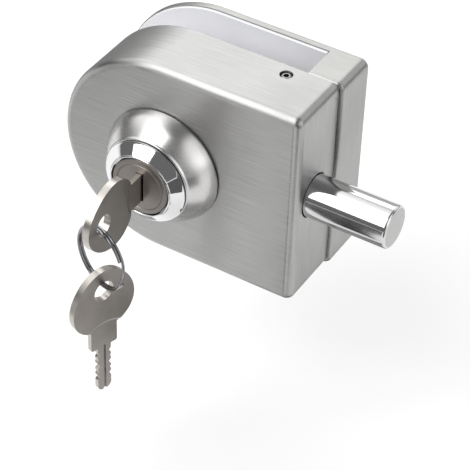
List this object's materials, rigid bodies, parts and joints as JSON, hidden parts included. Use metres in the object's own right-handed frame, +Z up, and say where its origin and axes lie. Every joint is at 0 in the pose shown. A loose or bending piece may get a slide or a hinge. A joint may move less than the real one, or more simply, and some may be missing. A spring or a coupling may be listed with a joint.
{
  "type": "glass door lock",
  "caption": "Clamp-on lock for a frameless glass door: half-round steel housing around a glass slot, keyed cylinder that throws a round bolt through a rack, and ringed keys.",
  "frame": {"origin": "where the lock cylinder's axis meets the glass, on the glass side of the front pad", "axes": "+X points along the bolt as it is thrown, +Y from the key side through the glass, +Z up"},
  "size_m": [0.0958, 0.0727, 0.0878],
  "materials": {
    "brushed_steel": "stainless, brushed lengthwise",
    "polished_steel": "polished stainless",
    "chrome": "chrome plated",
    "nickel": "nickel plated brass",
    "brass": "plain turned brass",
    "plug_nickel": "darkened nickel plate",
    "cast_zinc": "die-cast alloy, matt",
    "dark_steel": "oiled black steel",
    "clear_pad": "pale translucent rubber"
  },
  "bodies": {
    "housing": {"front_cover": "brushed_steel", "rear_housing": "brushed_steel", "lock_body": "cast_zinc", "front_glass_pad": "clear_pad", "rear_glass_pad": "clear_pad", "cylinder_collar": "polished_steel", "cylinder_shell": "chrome", "cylinder_nut": "brass", "bolt_bushing": "brass", "upper_clamp_screw": "dark_steel", "lower_clamp_screw": "dark_steel", "upper_cover_screw": "dark_steel", "lower_cover_screw": "dark_steel"},
    "plug": {"cylinder_plug": "plug_nickel", "plug_wafer_1": "brass", "plug_wafer_2": "brass", "plug_wafer_3": "brass", "plug_wafer_4": "brass", "plug_wafer_5": "brass", "plug_clip": "dark_steel", "drive_pinion": "dark_steel", "pinion_clip": "dark_steel"},
    "bolt": {"bolt_rod": "chrome", "bolt_rack": "dark_steel", "rack_pin": "dark_steel"},
    "key": {"key_1": "nickel"},
    "ring": {"key_ring": "polished_steel"},
    "second_key": {"key_2": "nickel"}
  },
  "joints": [
    {"name": "key_turn", "type": "hinge", "parent": "housing", "child": "plug", "pos_m": [0, -0.016, 0], "axis": [0, -1, 0], "range_deg": [0, 360]},
    {"name": "bolt_throw", "type": "slide", "parent": "housing", "child": "bolt", "axis": [1, 0, 0], "range_m": [-0.02455, 0]},
    {"name": "key_pull", "type": "slide", "parent": "plug", "child": "key", "axis": [0, -1, 0], "range_m": [0, 0.018]},
    {"name": "ring_swing", "type": "hinge", "parent": "key", "child": "ring", "pos_m": [0, -0.0495, -0.0021], "axis": [-0.9511, 0.309, 0], "range_deg": [-12, 45]},
    {"name": "second_key_swing", "type": "hinge", "parent": "ring", "child": "second_key", "pos_m": [0, -0.0495, -0.0201], "axis": [-0.9511, 0.309, 0], "range_deg": [-20, 40]}
  ],
  "couplings": [
    {"joint": "bolt_throw", "follows": "key_turn", "m_per_rad": -0.0039}
  ]
}
